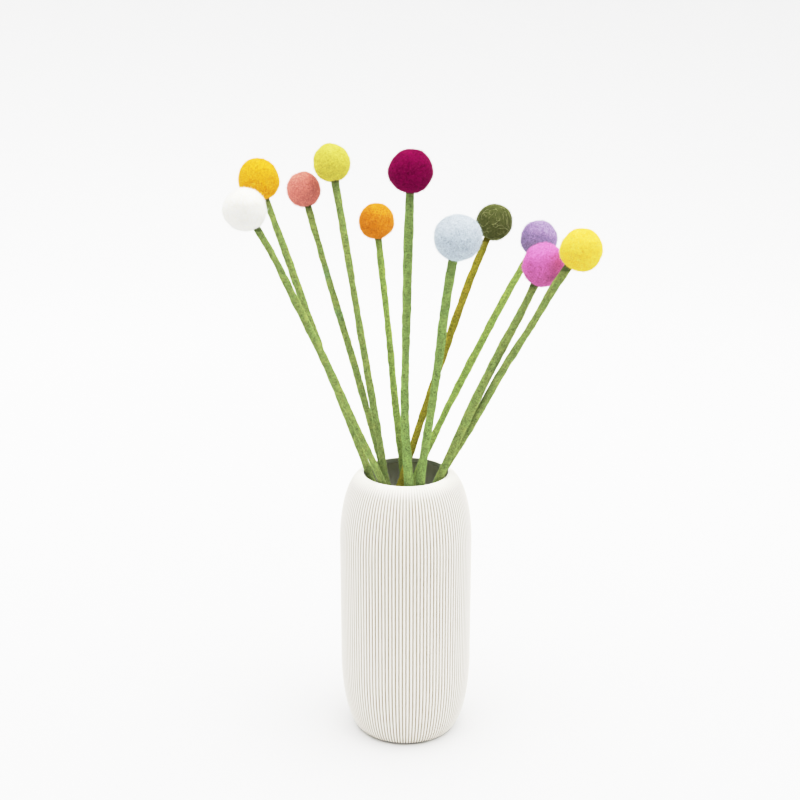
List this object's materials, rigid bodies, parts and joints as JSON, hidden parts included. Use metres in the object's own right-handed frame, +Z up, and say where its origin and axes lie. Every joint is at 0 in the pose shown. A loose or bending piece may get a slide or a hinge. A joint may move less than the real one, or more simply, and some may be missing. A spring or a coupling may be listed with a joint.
{
  "type": "felt billy buttons bunch in a ribbed vase",
  "caption": "Bunch of round felted wool flower heads on thin bent felt stems, standing in a tall ribbed white vase with a wide mouth.",
  "frame": {"origin": "centre of the vase's flat foot, on the surface that it stands on", "axes": "+Z up along the vase's axis; -Y is the side that the picture shows; +X to the right as seen from there"},
  "size_m": [0.2466, 0.1204, 0.4319],
  "materials": {
    "vase_ceramic": "matt white glaze over fine upright ribs",
    "stem_felt_green": "wool felt, fuzzy",
    "stem_felt_olive": "wool felt, fuzzy",
    "stem_wire": "drawn wire",
    "felt_mustard": "felted wool ball, fuzzy",
    "felt_white": "felted wool ball, fuzzy",
    "felt_salmon": "felted wool ball, fuzzy",
    "felt_lime": "felted wool ball, fuzzy",
    "felt_orange": "felted wool ball, fuzzy",
    "felt_magenta": "felted wool ball, fuzzy",
    "felt_pale_blue": "felted wool ball, fuzzy",
    "felt_olive": "felted wool ball, fuzzy",
    "felt_lavender": "felted wool ball, fuzzy",
    "felt_pink": "felted wool ball, fuzzy",
    "felt_yellow": "felted wool ball, fuzzy"
  },
  "bodies": {
    "root": {"vase": "vase_ceramic", "mustard_ball": "felt_mustard", "mustard_sleeve": "stem_felt_green", "mustard_wire": "stem_wire", "white_ball": "felt_white", "white_sleeve": "stem_felt_green", "white_wire": "stem_wire", "salmon_ball": "felt_salmon", "salmon_sleeve": "stem_felt_green", "salmon_wire": "stem_wire", "lime_ball": "felt_lime", "lime_sleeve": "stem_felt_green", "lime_wire": "stem_wire", "orange_ball": "felt_orange", "orange_sleeve": "stem_felt_green", "orange_wire": "stem_wire", "magenta_ball": "felt_magenta", "magenta_sleeve": "stem_felt_green", "magenta_wire": "stem_wire", "pale_blue_ball": "felt_pale_blue", "pale_blue_sleeve": "stem_felt_green", "pale_blue_wire": "stem_wire", "olive_ball": "felt_olive", "olive_sleeve": "stem_felt_olive", "olive_wire": "stem_wire", "lavender_ball": "felt_lavender", "lavender_sleeve": "stem_felt_green", "lavender_wire": "stem_wire", "pink_ball": "felt_pink", "pink_sleeve": "stem_felt_green", "pink_wire": "stem_wire", "yellow_ball": "felt_yellow", "yellow_sleeve": "stem_felt_green", "yellow_wire": "stem_wire"}
  },
  "joints": []
}
